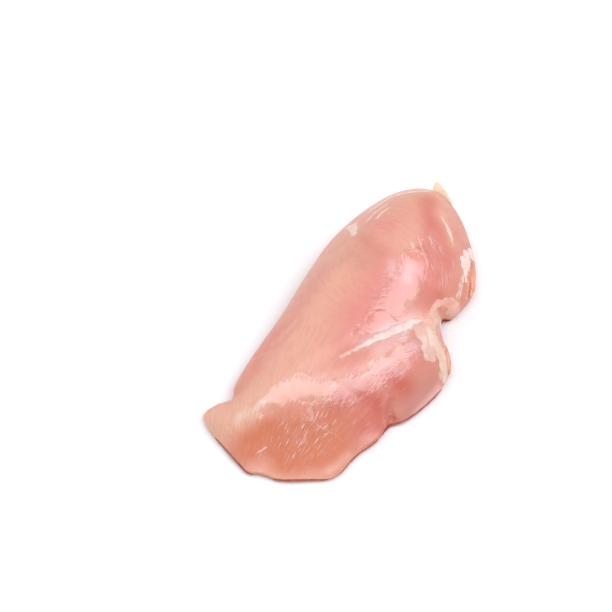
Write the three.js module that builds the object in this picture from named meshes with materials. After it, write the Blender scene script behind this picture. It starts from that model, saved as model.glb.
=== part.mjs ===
// A raw, boneless and skinless chicken breast fillet, lying smooth side up as it rests on a table.
// One solid: a thick round shoulder end, a main muscle with a steep back flank, a smaller front muscle that
// meets it along a sunken fascia seam, and a thin tail that spreads out flat.
// Millimetres, +Z up. +X runs from the tail to the shoulder end, and +Y points to the back flank.
// The places below are measured from a point near the middle. The finished fillet is moved so that its
// origin is under the exact middle, on the surface that it rests on.
import * as THREE from "three";

// How finely the solid is cut: chords from tail to shoulder, and points across each chord.
const CHORDS = 98;
const POINTS_ACROSS = 36;
const UNDER_RINGS = 3;
const BOTTOM_POINTS_ACROSS = 4;
const OUTLINE_SAMPLES = 720;
const LENGTH_DIVISIONS = 2000;
const END_CROWDING = 0.7; // 0 spaces chords and points evenly, 1 crowds them like a cosine towards the rim
const SOFTENING_PASSES = 3; // rounds of evening out between neighbouring points of the top

// The outline seen from above, clockwise from the corner of the tail: along the back flank to the shoulder
// tip, then along the front back to the tail. rim is the height at which the side is fullest, roll is how
// far in the rounding over the edge reaches, and tuck is how far the underside draws in below the rim.
const backOutline = [
  { name: "tail corner", at: [-90, 8], rim: 3.2, roll: 6, tuck: 3 },
  { name: "tail end, inner", at: [-88, 14], rim: 3.2, roll: 6, tuck: 3.5 },
  { name: "tail end, middle", at: [-83.5, 25], rim: 3.2, roll: 6, tuck: 3.5 },
  { name: "tail end, outer", at: [-79, 35.5], rim: 3.2, roll: 6, tuck: 3 },
  { name: "tail tip", at: [-73.5, 42], rim: 3.2, roll: 6, tuck: 2.5 },
  { name: "tail tip, back", at: [-67, 39.5], rim: 3.4, roll: 6, tuck: 2 },
  { name: "heel notch", at: [-61.5, 34], rim: 4.5, roll: 6, tuck: 1.5 },
  { name: "flank start", at: [-55, 36.5], rim: 6, roll: 8, tuck: 3 },
  { name: "flank low", at: [-38, 37.5], rim: 8, roll: 13, tuck: 5 },
  { name: "flank middle", at: [-12, 37], rim: 10, roll: 19, tuck: 7 },
  { name: "flank high", at: [15, 38.5], rim: 11, roll: 23, tuck: 8 },
  { name: "flank crown", at: [37, 38.5], rim: 12, roll: 25, tuck: 9 },
  { name: "shoulder back", at: [56, 35], rim: 12, roll: 24, tuck: 9 },
  { name: "shoulder corner", at: [75, 28], rim: 12, roll: 19, tuck: 8 },
  { name: "shoulder round", at: [87, 18], rim: 11.5, roll: 15, tuck: 7 },
];
const frontOutline = [
  { name: "shoulder tip", at: [91.5, 5], rim: 11, roll: 14, tuck: 7 },
  { name: "shoulder front", at: [86.5, -6.5], rim: 10, roll: 15, tuck: 6 },
  { name: "shoulder side", at: [78, -16.3], rim: 9, roll: 15, tuck: 5 },
  { name: "fat pad start", at: [68.5, -25], rim: 7, roll: 12, tuck: 4 },
  { name: "under flap", at: [57.5, -31.5], rim: 6, roll: 8, tuck: 3 },
  { name: "under flap end", at: [48.5, -34], rim: 5.5, roll: 7, tuck: 3 },
  { name: "pale corner", at: [40, -33.3], rim: 6, roll: 7, tuck: 3 },
  { name: "notch lip", at: [33.5, -31.8], rim: 6.5, roll: 6, tuck: 2.5 },
  { name: "notch", at: [29.5, -28.6], rim: 7, roll: 5, tuck: 1.5 },
  { name: "notch wall", at: [25.5, -29.6], rim: 7.5, roll: 5, tuck: 1.5 },
  { name: "notch foot", at: [19.5, -32.8], rim: 7, roll: 5, tuck: 2 },
  { name: "fat strip start", at: [14.5, -36.7], rim: 6, roll: 9, tuck: 2.5 },
  { name: "front corner", at: [8.3, -43.7], rim: 4.8, roll: 12, tuck: 2.5 },
  { name: "front lobe", at: [-4, -46], rim: 4.4, roll: 13, tuck: 2.5 },
  { name: "front lobe middle", at: [-18, -43.5], rim: 4, roll: 13, tuck: 2.5 },
  { name: "front lobe end", at: [-30.5, -39], rim: 3.8, roll: 12, tuck: 2.5 },
  { name: "crease notch", at: [-36.5, -33.8], rim: 4, roll: 9, tuck: 1.5 },
  { name: "skirt start", at: [-43, -34.5], rim: 3.8, roll: 11, tuck: 2.5 },
  { name: "skirt", at: [-57, -29.5], rim: 3.6, roll: 13, tuck: 2.5 },
  { name: "skirt corner", at: [-72.5, -26.8], rim: 3.5, roll: 11, tuck: 2.5 },
  { name: "tail front", at: [-79.3, -17.3], rim: 3.2, roll: 9, tuck: 3 },
  { name: "tail front edge", at: [-86.6, -4.5], rim: 3.2, roll: 7, tuck: 3 },
  { name: "tail hollow", at: [-87.8, 3], rim: 3.2, roll: 7, tuck: 3 },
];

// Heights of the top along cross-sections at named lengths, each as [y, height] from the back flank to the
// front, before the rounding over the edge and the seams.
const crossSections = [
  { name: "shoulder end", x: 79, heights: [[12, 26.5], [2, 26.5], [-8, 22]] },
  { name: "shoulder", x: 63, heights: [[24, 28.5], [10, 32.5], [-3, 29.5], [-14, 23], [-23, 14]] },
  {
    name: "crown",
    x: 45,
    heights: [[28, 30], [12, 34.5], [-2, 32.5], [-13, 28], [-22, 21.5], [-29, 14.5]],
  },
  { name: "behind the notch", x: 25, heights: [[30, 29], [13, 34.5], [0, 33], [-11, 29.5], [-20, 24.5]] },
  {
    name: "waist",
    x: 4,
    heights: [[29, 28], [14, 32], [0, 30], [-9, 27.5], [-18, 24.5], [-28, 23], [-38, 17]],
  },
  {
    name: "front lobe",
    x: -16,
    heights: [[28, 24.5], [14, 28.5], [1, 27.5], [-9, 25.5], [-21, 24.5], [-31, 20], [-38, 13.5]],
  },
  {
    name: "taper",
    x: -34,
    heights: [[29, 20], [17, 24], [5, 24.5], [-6, 23], [-15, 19.5], [-25, 13.5]],
  },
  {
    name: "neck",
    x: -50,
    heights: [[30, 16.5], [22, 20.5], [12, 21], [2, 19], [-10, 14], [-22, 8]],
  },
  { name: "tail", x: -64, heights: [[31, 12], [24, 15], [15, 14.8], [4, 12.3], [-9, 8.6], [-20, 5]] },
  { name: "tail end", x: -78, heights: [[32, 7.2], [22, 8.5], [9, 7.2], [-6, 4.8]] },
];

// Long relief lines. depth is sunk below the surface (negative is raised), from the first point to the
// last, and width is the half-width at which the line has faded to a third.
const reliefLines = [
  {
    name: "fascia seam",
    path: [[28, -27], [16, -25.5], [3, -19.5], [-14, -9], [-33, 1], [-48, 9]],
    depth: [3.6, 0.4],
    width: 4,
  },
  {
    name: "heel crease",
    path: [[-62, 33], [-53, 30], [-40, 28], [-27, 26]],
    depth: [1.4, 0.2],
    width: 3,
  },
  {
    name: "corner crease",
    path: [[-38, -36], [-35.5, -32.5], [-31, -30]],
    depth: [3.4, 0.2],
    width: 2.4,
  },
  {
    name: "under flap groove",
    path: [[71, -21], [60, -26.5], [50, -30.5], [44, -31]],
    depth: [1, 2],
    width: 2.4,
  },
  {
    name: "fat strip",
    path: [[15, -28], [9, -33], [3, -38.5], [-3, -43]],
    depth: [-1.2, -0.9],
    width: 4,
  },
  {
    name: "fat pad ridge",
    path: [[69, -18], [60, -23], [51, -27], [42, -29]],
    depth: [-0.8, -1.4],
    width: 3,
  },
];

const { clamp, lerp } = THREE.MathUtils;

// A closed smooth line through the landmarks, with the edge's measures carried along it. The points are
// spread evenly by length, and a share is the part of the whole length that lies before a place on it.
function sampledOutline(landmarks) {
  const line = new THREE.CatmullRomCurve3(
    landmarks.map(({ at: [x, y] }) => new THREE.Vector3(x, y, 0)),
    true,
    "centripetal",
  );
  line.arcLengthDivisions = LENGTH_DIVISIONS;
  const measures = new THREE.CatmullRomCurve3(
    landmarks.map(({ rim, roll, tuck }) => new THREE.Vector3(rim, roll, tuck)),
    true,
    "catmullrom",
    0.5,
  );
  const atShare = (share) => {
    const t = line.getUtoTmapping(share);
    const { x, y } = line.getPoint(t);
    const { x: rim, y: roll, z: tuck } = measures.getPoint(t);
    return { x, y, rim, roll, tuck };
  };
  const shareOfLandmark = (index) => {
    const lengths = line.getLengths();
    const spot = (index / landmarks.length) * LENGTH_DIVISIONS;
    const below = Math.floor(spot);
    return lerp(lengths[below], lengths[below + 1], spot - below) / lengths[LENGTH_DIVISIONS];
  };
  const points = Array.from({ length: OUTLINE_SAMPLES }, (_, i) => atShare(i / OUTLINE_SAMPLES));
  return { atShare, shareOfLandmark, points };
}

// How far a point lies from a straight stretch from a to b, and how far along it the nearest place is.
function nearestOnStretch(x, y, ax, ay, bx, by) {
  const dx = bx - ax;
  const dy = by - ay;
  const along = clamp(((x - ax) * dx + (y - ay) * dy) / (dx * dx + dy * dy), 0, 1);
  return { along, distance: Math.hypot(x - ax - along * dx, y - ay - along * dy) };
}

// The nearest place on the outline to a point: its distance, and the edge's measures there.
function nearestEdge(points, x, y) {
  let best = { distance: Infinity };
  points.forEach((a, i) => {
    const b = points[(i + 1) % points.length];
    const { along, distance } = nearestOnStretch(x, y, a.x, a.y, b.x, b.y);
    if (distance < best.distance) {
      best = { distance, rim: lerp(a.rim, b.rim, along), roll: lerp(a.roll, b.roll, along) };
    }
  });
  return best;
}

// The bending of a thin plate at a distance from a point that holds it up.
const plate = (distance) => (distance > 0 ? distance * distance * Math.log(distance) : 0);

// The solution of a square set of linear equations, each row ending in its right-hand side.
function solved(rows) {
  const size = rows.length;
  for (let k = 0; k < size; k += 1) {
    let pivot = k;
    for (let i = k + 1; i < size; i += 1) {
      if (Math.abs(rows[i][k]) > Math.abs(rows[pivot][k])) pivot = i;
    }
    [rows[k], rows[pivot]] = [rows[pivot], rows[k]];
    for (let i = 0; i < size; i += 1) {
      if (i === k) continue;
      const factor = rows[i][k] / rows[k][k];
      for (let j = k; j <= size; j += 1) rows[i][j] -= factor * rows[k][j];
    }
  }
  return rows.map((row, k) => row[size] / row[k]);
}

// The height of the unrounded top anywhere: a thin plate bent through the heights of the cross-sections.
function crownSurface(sections) {
  const points = sections.flatMap(({ x, heights }) => heights.map(([y, height]) => ({ x, y, height })));
  const rows = points.map((p) => [
    ...points.map((q) => plate(Math.hypot(p.x - q.x, p.y - q.y))),
    1,
    p.x,
    p.y,
    p.height,
  ]);
  rows.push([...points.map(() => 1), 0, 0, 0, 0]);
  rows.push([...points.map(({ x }) => x), 0, 0, 0, 0]);
  rows.push([...points.map(({ y }) => y), 0, 0, 0, 0]);
  const weights = solved(rows);
  const [level, alongX, alongY] = weights.slice(points.length);
  return (x, y) =>
    points.reduce(
      (height, p, i) => height + weights[i] * plate(Math.hypot(x - p.x, y - p.y)),
      level + alongX * x + alongY * y,
    );
}

// How deep a relief line is sunk at a point, from its distance to the line and its place along it.
function reliefDepth({ path, depth, width }, x, y) {
  let best = { distance: Infinity, along: 0 };
  const stretches = path.length - 1;
  for (let i = 0; i < stretches; i += 1) {
    const { along, distance } = nearestOnStretch(x, y, ...path[i], ...path[i + 1]);
    if (distance < best.distance) best = { distance, along: (i + along) / stretches };
  }
  return lerp(depth[0], depth[1], best.along) * Math.exp(-((best.distance / width) ** 2));
}

// The height of the top over a point inside the outline: a quarter ellipse from the rim up to the crown,
// with the relief lines sunk into it.
function topHeight(outlinePoints, crown, x, y) {
  const { distance, rim, roll } = nearestEdge(outlinePoints, x, y);
  const inward = Math.min(1, distance / roll);
  const rounding = Math.sqrt(1 - (1 - inward) ** 2);
  const relief = reliefLines.reduce((sum, line) => sum + reliefDepth(line, x, y), 0);
  return rim + (crown(x, y) - rim - relief) * rounding;
}

// Shares from 0 to 1 that lie closer together towards both ends.
function crowdedShare(index, count) {
  const even = index / count;
  return lerp(even, (1 - Math.cos(Math.PI * even)) / 2, END_CROWDING);
}

// Triangles on shared vertices. A row is a list of vertex numbers.
class Skin {
  positions = [];

  triangles = [];

  vertex(x, y, z) {
    return this.positions.push(x, y, z) / 3 - 1;
  }

  place(index) {
    return this.positions.slice(3 * index, 3 * index + 3);
  }

  // Joins a point to every stretch of a row.
  fan(tip, row, flip) {
    for (let j = 0; j + 1 < row.length; j += 1) {
      this.triangles.push(flip ? [tip, row[j + 1], row[j]] : [tip, row[j], row[j + 1]]);
    }
  }

  // Joins two rows of equal length.
  strip(rowA, rowB, flip) {
    for (let j = 0; j + 1 < rowA.length; j += 1) {
      const quad = [rowA[j], rowA[j + 1], rowB[j + 1], rowB[j]];
      const [p, q, r, s] = flip ? quad.reverse() : quad;
      this.triangles.push([p, q, r], [p, r, s]);
    }
  }

  // A surface over rows that run side by side between a tip at either end.
  cover(firstTip, rows, lastTip, facesDown) {
    this.fan(firstTip, rows[0], !facesDown);
    for (let i = 0; i + 1 < rows.length; i += 1) this.strip(rows[i], rows[i + 1], facesDown);
    this.fan(lastTip, rows[rows.length - 1], facesDown);
  }

  // Draws each inner point of the rows halfway to the mean height of its four neighbours.
  soften(rows) {
    const height = (index) => this.positions[3 * index + 2];
    const evened = rows.slice(1, -1).flatMap((row, i) =>
      row.slice(1, -1).map((index, j) => {
        const around = [rows[i][j + 1], rows[i + 2][j + 1], row[j], row[j + 2]];
        const mean = around.reduce((sum, near) => sum + height(near), 0) / around.length;
        return [index, (height(index) + mean) / 2];
      }),
    );
    evened.forEach(([index, z]) => {
      this.positions[3 * index + 2] = z;
    });
  }

  geometry() {
    const geometry = new THREE.BufferGeometry();
    geometry.setAttribute("position", new THREE.Float32BufferAttribute(this.positions, 3));
    geometry.setIndex(this.triangles.flat());
    geometry.computeVertexNormals();
    return geometry;
  }
}

// The places round the rim: the tail corner, the back side, the shoulder tip, and the front side back
// again, each with the unit vector in plan that points into the fillet.
function rimSpots(outline) {
  const shoulder = outline.shareOfLandmark(backOutline.length);
  const back = Array.from({ length: CHORDS + 1 }, (_, i) => shoulder * crowdedShare(i, CHORDS));
  const front = back.map((_, i) => 1 - (1 - shoulder) * crowdedShare(i, CHORDS));
  const step = 1 / OUTLINE_SAMPLES;
  return [...back, ...front.slice(1, CHORDS).reverse()].map((share) => {
    const before = outline.atShare((share - step + 1) % 1);
    const after = outline.atShare((share + step) % 1);
    const length = Math.hypot(after.x - before.x, after.y - before.y);
    const inward = [(after.y - before.y) / length, (before.x - after.x) / length];
    return { ...outline.atShare(share), inward };
  });
}

// Rows of vertices along the chords that join the back half of a ring to its front half.
function chordRows(skin, ring, inner) {
  return Array.from({ length: CHORDS - 1 }, (_, k) => {
    const back = ring[k + 1];
    const front = ring[2 * CHORDS - k - 1];
    const [ax, ay] = skin.place(back);
    const [bx, by] = skin.place(front);
    return [back, ...inner((share) => [lerp(ax, bx, share), lerp(ay, by, share)]), front];
  });
}

// The closed surface of the whole fillet.
function breastGeometry() {
  const outline = sampledOutline([...backOutline, ...frontOutline]);
  const crown = crownSurface(crossSections);
  const spots = rimSpots(outline);
  const skin = new Skin();
  const rim = spots.map(({ x, y, rim: z }) => skin.vertex(x, y, z));

  const topRows = chordRows(skin, rim, (onChord) =>
    Array.from({ length: POINTS_ACROSS - 1 }, (_, j) => {
      const [x, y] = onChord(crowdedShare(j + 1, POINTS_ACROSS));
      return skin.vertex(x, y, topHeight(outline.points, crown, x, y));
    }),
  );
  for (let pass = 0; pass < SOFTENING_PASSES; pass += 1) skin.soften(topRows);
  skin.cover(rim[0], topRows, rim[CHORDS], false);

  // Below the rim the side draws in on a quarter ellipse, down to the line where the meat meets the table.
  let ring = rim;
  for (let k = 1; k <= UNDER_RINGS; k += 1) {
    const turn = (Math.PI / 2) * (k / UNDER_RINGS);
    const lower = spots.map(({ x, y, rim: z, tuck, inward }) => {
      const draw = tuck * (1 - Math.cos(turn));
      return skin.vertex(x + inward[0] * draw, y + inward[1] * draw, z * (1 - Math.sin(turn)));
    });
    skin.strip([...ring, ring[0]], [...lower, lower[0]], false);
    ring = lower;
  }

  const underRows = chordRows(skin, ring, (onChord) =>
    Array.from({ length: BOTTOM_POINTS_ACROSS - 1 }, (_, j) =>
      skin.vertex(...onChord((j + 1) / BOTTOM_POINTS_ACROSS), 0),
    ),
  );
  skin.cover(ring[0], underRows, ring[CHORDS], true);

  const geometry = skin.geometry();
  geometry.computeBoundingBox();
  const { min, max } = geometry.boundingBox;
  geometry.translate(-(min.x + max.x) / 2, -(min.y + max.y) / 2, -min.z);
  return geometry;
}

const meat = new THREE.MeshStandardMaterial({ color: 0xeab09c, roughness: 0.35, metalness: 0 });
const breast = new THREE.Mesh(breastGeometry(), meat);
breast.name = "breast";

const fillet = new THREE.Group();
fillet.add(breast);
export default fillet;
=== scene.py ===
"""Dresses one raw chicken breast fillet, boneless and skinless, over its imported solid.

The fillet lies on its cut side on a white table, with its smooth outer side up, the thick shoulder
end at +X and the thin tail at -X. Landmarks are places on the meat in millimetres, in the frame of
the solid, and meshes are in metres.
"""

import logging
import math
import random
from dataclasses import dataclass
from enum import Enum

import bmesh
import bpy
import numpy as np
from mathutils import Matrix, Vector
from mathutils.bvhtree import BVHTree


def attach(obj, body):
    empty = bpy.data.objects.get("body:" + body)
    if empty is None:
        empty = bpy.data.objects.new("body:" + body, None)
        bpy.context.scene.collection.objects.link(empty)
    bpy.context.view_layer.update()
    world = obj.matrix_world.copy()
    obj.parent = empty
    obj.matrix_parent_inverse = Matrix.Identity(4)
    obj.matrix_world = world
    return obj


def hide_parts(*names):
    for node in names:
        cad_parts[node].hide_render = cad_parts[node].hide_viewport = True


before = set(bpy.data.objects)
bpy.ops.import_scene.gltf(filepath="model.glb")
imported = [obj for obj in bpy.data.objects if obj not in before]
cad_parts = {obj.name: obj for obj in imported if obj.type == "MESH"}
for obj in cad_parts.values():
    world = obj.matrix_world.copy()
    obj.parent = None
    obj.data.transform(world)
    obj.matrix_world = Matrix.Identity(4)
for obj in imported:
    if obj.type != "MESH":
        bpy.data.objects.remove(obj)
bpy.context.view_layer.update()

MM = 0.001
BODY = "root"
NODE = "breast"
TABLE_GAP_MM = 0.05
MERGE_MM = 0.001
ROUTE_STEP_MM = 1.0
SMOOTHING = 0.5
CLOUD_LAYERS = 2
NOISE_ROUGHNESS = 0.55
LIGHT_FROM_ABOVE = (1.14, 1.165, 1.20)
GLOSS_HAZE = 0.07
ALBEDO_LIMITS = (0.01, 0.95)

Place = tuple[float, float, float]
Route = tuple[Place, ...]
Patch = tuple[float, float, Route]
Span = tuple[float, float]
Ease = tuple[float, ...]
Colour = tuple[float, float, float, float]
Socket = bpy.types.NodeSocket

log = logging.getLogger("fillet")


class Tone(Enum):
    """Colours of raw chicken as they look in soft light, in sRGB steps from 0 to 255, with some that are
    painted shade, painted rim light and painted highlights.
    """

    PEACH = (239, 178, 157)
    PINK = (235, 160, 147)
    TAN = (238, 180, 154)
    BLUSH = (231, 146, 132)
    ROSE = (216, 116, 102)
    CORAL = (210, 116, 92)
    BROWN = (219, 145, 128)
    MAUVE = (212, 146, 136)
    SALLOW = (238, 186, 160)
    # pale pink fascia veil, and also painted highlight
    VEIL = (247, 198, 192)
    # pale film and fascia, and also painted highlight
    FILM = (246, 208, 198)
    CREAM = (248, 216, 199)
    # painted shade for creases, the notch, the crack, the gap between pieces and the sides next to the
    # table, and the colour of one real dark speck
    DARK = (176, 96, 78)
    # painted shade deep in the crevices
    CREVICE = (168, 40, 22)
    YELLOW_FAT = (255, 232, 204)
    SILVER = (255, 230, 222)
    ORANGE = (218, 126, 88)
    # painted rim light
    RIM = (255, 172, 152)
    # pale edges: the paler meat at the shoulder's right side and the corner lobe, and painted highlight
    # where light catches the rims
    PALE_RIM = (252, 208, 180)
    STRIP = (240, 200, 178)
    JELLY = (240, 202, 190)
    FOLD = (238, 178, 158)
    APRICOT = (248, 182, 156)
    ROLL = (252, 198, 180)

    @property
    def layer(self) -> str:
        """Name of the vertex attribute that holds how much of this colour shows."""
        return "tone_" + self.name.lower()

    @property
    def albedo(self) -> Colour:
        """The surface colour that looks like this one under the studio's light.

        Returns:
            The colour, linear and opaque.
        """
        darkest, palest = ALBEDO_LIMITS
        channels = []
        for step, light in zip(self.value, LIGHT_FROM_ABOVE):
            share = step / 255
            linear = ((share + 0.055) / 1.055) ** 2.4  # the sRGB curve
            channels.append(min(max((linear - GLOSS_HAZE) / light, darkest), palest))
        return (*channels, 1.0)


class Grain(Enum):
    """Vertex attributes that carry the run of the muscle fibres."""

    BODY = "fibres_of_body"
    HEAD = "fibres_of_head"
    HEAD_SHARE = "share_of_head"
    COARSE = "coarse_fibres"
    WET = "smooth_wet_film"
    RAISED = "raised_fibres"


def select_only(piece: bpy.types.Object) -> None:
    """Makes one object the selected and the active one.

    Args:
        piece: the object that the next operators act on.
    """
    bpy.ops.object.select_all(action="DESELECT")
    piece.select_set(True)
    bpy.context.view_layer.objects.active = piece


def apply_modifiers(piece: bpy.types.Object) -> None:
    """Applies every modifier of a piece in its order.

    Args:
        piece: the object whose modifiers are applied.
    """
    select_only(piece)
    for modifier in list(piece.modifiers):
        bpy.ops.object.modifier_apply(modifier=modifier.name)


def make_uneven(piece: bpy.types.Object, size_mm: float, depth_mm: float, group: str = "",
                along: bpy.types.Object | None = None) -> None:
    """Adds low, cloudy bumps, as soft meat and fat have.

    Args:
        piece: the object to displace.
        size_mm: rough width of one bump.
        depth_mm: full range of the bumps, from the lowest to the highest.
        group: vertex group that limits them, or nothing for the whole piece.
        along: helper object whose scale draws the bumps out along the fibres.
    """
    clouds = bpy.data.textures.new(f"{piece.name}_uneven", "CLOUDS")
    clouds.noise_scale = 1.0 if along else size_mm * MM
    clouds.noise_depth = CLOUD_LAYERS
    modifier = piece.modifiers.new("uneven", "DISPLACE")
    modifier.texture = clouds
    modifier.strength = depth_mm * MM
    modifier.mid_level = 0.5
    modifier.vertex_group = group
    if along:
        modifier.texture_coords = "OBJECT"
        modifier.texture_coords_object = along


def melt(piece: bpy.types.Object, voxel_mm: float) -> None:
    """Makes one closed skin of small even faces from whatever a piece is made of.

    Args:
        piece: the object.
        voxel_mm: rough width of one face.
    """
    remesh = piece.modifiers.new("melt", "REMESH")
    remesh.mode = "VOXEL"
    remesh.voxel_size = voxel_mm * MM


def soften(piece: bpy.types.Object, rounds: int) -> None:
    """Evens out a piece's surface.

    Args:
        piece: the object.
        rounds: how often every corner moves towards its neighbours.
    """
    smooth = piece.modifiers.new("soften", "SMOOTH")
    smooth.factor = SMOOTHING
    smooth.iterations = rounds


def hand_over(piece: bpy.types.Object, material: bpy.types.Material) -> None:
    """Gives a finished piece its material and its place in the frame.

    Args:
        piece: the finished piece.
        material: what it is made of.
    """
    piece.data.materials.clear()
    piece.data.materials.append(material)
    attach(piece, BODY)
    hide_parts(NODE)
    log.info("%s: %d faces", piece.name, len(piece.data.polygons))


def rounded(landmarks: list[Vector], step: float) -> list[Vector]:
    """Points along a smooth curve through the landmarks.

    Args:
        landmarks: the places that the curve passes through.
        step: largest distance between two points, in the landmarks' unit.

    Returns:
        The points of the curve, from the first landmark to the last.
    """
    points = []
    last = len(landmarks) - 1
    for i in range(last):
        before, start, end = landmarks[max(i - 1, 0)], landmarks[i], landmarks[i + 1]
        after = landmarks[min(i + 2, last)]
        count = max(1, math.ceil((end - start).length / step))
        for k in range(count):
            t = k / count
            points.append(0.5 * (2 * start + (end - before) * t
                                 + (2 * before - 5 * start + 4 * end - after) * t ** 2
                                 + (3 * start - before - 3 * end + after) * t ** 3))
    return [*points, landmarks[last]]


def smooth_step(values: np.ndarray, low: float, high: float) -> np.ndarray:
    """Eases values from 0 at low to 1 at high.

    Args:
        values: the numbers to ease.
        low: where the result is still 0.
        high: where the result has reached 1.

    Returns:
        The eased values, from 0 to 1.
    """
    t = np.clip((values - low) / (high - low), 0.0, 1.0)
    return t * t * (3 - 2 * t)


def closeness(points: np.ndarray, route: Route, reach_mm: float) -> np.ndarray:
    """How near each point is to a route over the meat.

    Args:
        points: places in millimetres, one a row.
        route: one landmark, or several joined by a smooth line.
        reach_mm: distance at which the result has fallen to about a third.

    Returns:
        1 on the route, falling smoothly to 0 away from it.
    """
    line = rounded([Vector(place) for place in route], ROUTE_STEP_MM)
    nearest = np.full(len(points), np.inf)
    for spot in np.array([tuple(place) for place in line]):
        nearest = np.minimum(nearest, ((points - spot) ** 2).sum(1))
    return np.exp(-nearest / reach_mm ** 2)


def strewn(points: np.ndarray, patches: tuple[Patch, ...]) -> np.ndarray:
    """How much of something lies at each point, with all its patches added up.

    Args:
        points: places in millimetres, one a row.
        patches: where it lies, how far each patch reaches and how strong it is.

    Returns:
        The sum for each point, which may pass 1.
    """
    total = np.zeros(len(points))
    for reach, strength, route in patches:
        total += strength * closeness(points, route, reach)
    return total


class Wiring:
    """Short calls for adding and joining the nodes of one material."""

    def __init__(self, name: str) -> None:
        """Starts an empty material with one shader.

        Args:
            name: name of the material.
        """
        self.material = bpy.data.materials.new(name)
        self.material.use_nodes = True
        self.tree = self.material.node_tree
        self.shader = self.tree.nodes["Principled BSDF"]

    def feed(self, node: bpy.types.Node, inputs: dict[str | int, object]) -> None:
        """Joins inputs of a node to other sockets, or sets them to plain values.

        Args:
            node: the node, such as the shader.
            inputs: a socket or a plain value for each input, by its name or its number.
        """
        for name, source in inputs.items():
            if isinstance(source, Socket):
                self.tree.links.new(source, node.inputs[name])
            else:
                node.inputs[name].default_value = source

    def add(self, kind: str, inputs: dict[str | int, object], **settings: object) -> bpy.types.Node:
        """Adds a node.

        Args:
            kind: its type, such as TexNoise.
            inputs: what its inputs are joined or set to.
            settings: its own settings, which are made first.

        Returns:
            The new node.
        """
        node = self.tree.nodes.new("ShaderNode" + kind)
        for name, value in settings.items():
            setattr(node, name, value)
        self.feed(node, inputs)
        return node

    def attribute(self, name: str, output: str = "Fac") -> Socket:
        """A vertex attribute of the piece: as a number, or as a vector at the output Vector."""
        return self.add("Attribute", {}, attribute_name=name).outputs[output]

    def object_place(self) -> Socket:
        """The place on the piece, in metres."""
        return self.add("TexCoord", {}).outputs["Object"]

    def noise(self, place: Socket, per_metre: Place, detail: float = 3.0, twist: float = 0.0) -> Socket:
        """Cloudy noise whose grains may be drawn out.

        Args:
            place: where the noise is read.
            per_metre: grains in a metre along each axis.
            detail: how many finer layers it has.
            twist: how far its shapes are pulled about.

        Returns:
            The noise, around 0.5.
        """
        drawn_out = self.add("Mapping", {"Scale": per_metre, "Vector": place}).outputs["Vector"]
        return self.add("TexNoise", {"Scale": 1.0, "Detail": detail, "Roughness": NOISE_ROUGHNESS,
                                     "Distortion": twist, "Vector": drawn_out}).outputs["Fac"]

    def eased(self, value: Socket, low: float, high: float, start: float = 0.0, end: float = 1.0) -> Socket:
        """Eases a value from start, at or below low, to end, at or above high."""
        ramp = self.add("MapRange", {"Value": value, "From Min": low, "From Max": high, "To Min": start,
                                     "To Max": end}, interpolation_type="SMOOTHSTEP")
        return ramp.outputs["Result"]

    def calculated(self, operation: str, first: object, second: object) -> Socket:
        """What a named calculation makes of two numbers, kept between 0 and 1."""
        return self.add("Math", {0: first, 1: second}, operation=operation, use_clamp=True).outputs["Value"]

    def plus(self, first: object, second: object) -> Socket:
        """Two numbers added up, kept between 0 and 1."""
        return self.calculated("ADD", first, second)

    def times(self, first: object, second: object) -> Socket:
        """One number times another, kept between 0 and 1."""
        return self.calculated("MULTIPLY", first, second)

    def between(self, first: object, second: object, share: object) -> Socket:
        """A number that goes from the first to the second, as the share does from 0 to 1."""
        mixer = self.add("Mix", {"Factor": share, "A": first, "B": second}, data_type="FLOAT")
        return mixer.outputs["Result"]

    def laid_over(self, under: object, over: object, share: object) -> Socket:
        """One colour over another, as much as the share says."""
        mixer = self.add("Mix", {"Factor": share, "A": under, "B": over}, data_type="RGBA")
        return mixer.outputs["Result"]

    def relief(self, layers: tuple[tuple[Socket, float], ...]) -> Socket:
        """Fine relief from several heights laid over each other.

        Args:
            layers: a height and its depth in millimetres for each, the lowest first.

        Returns:
            The outward direction of the relief.
        """
        under = {}
        for height, depth_mm in layers:
            bump = self.add("Bump", {"Strength": 1.0, "Distance": depth_mm * MM, "Height": height} | under)
            under = {"Normal": bump.outputs["Normal"]}
        return under["Normal"]


@dataclass(frozen=True)
class Noises:
    """The noises that the flesh's colour, gloss and relief share."""

    clouds: Socket
    blotches: Socket
    speckle: Socket
    bundles: Socket
    threads: Socket
    strands: Socket


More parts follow.
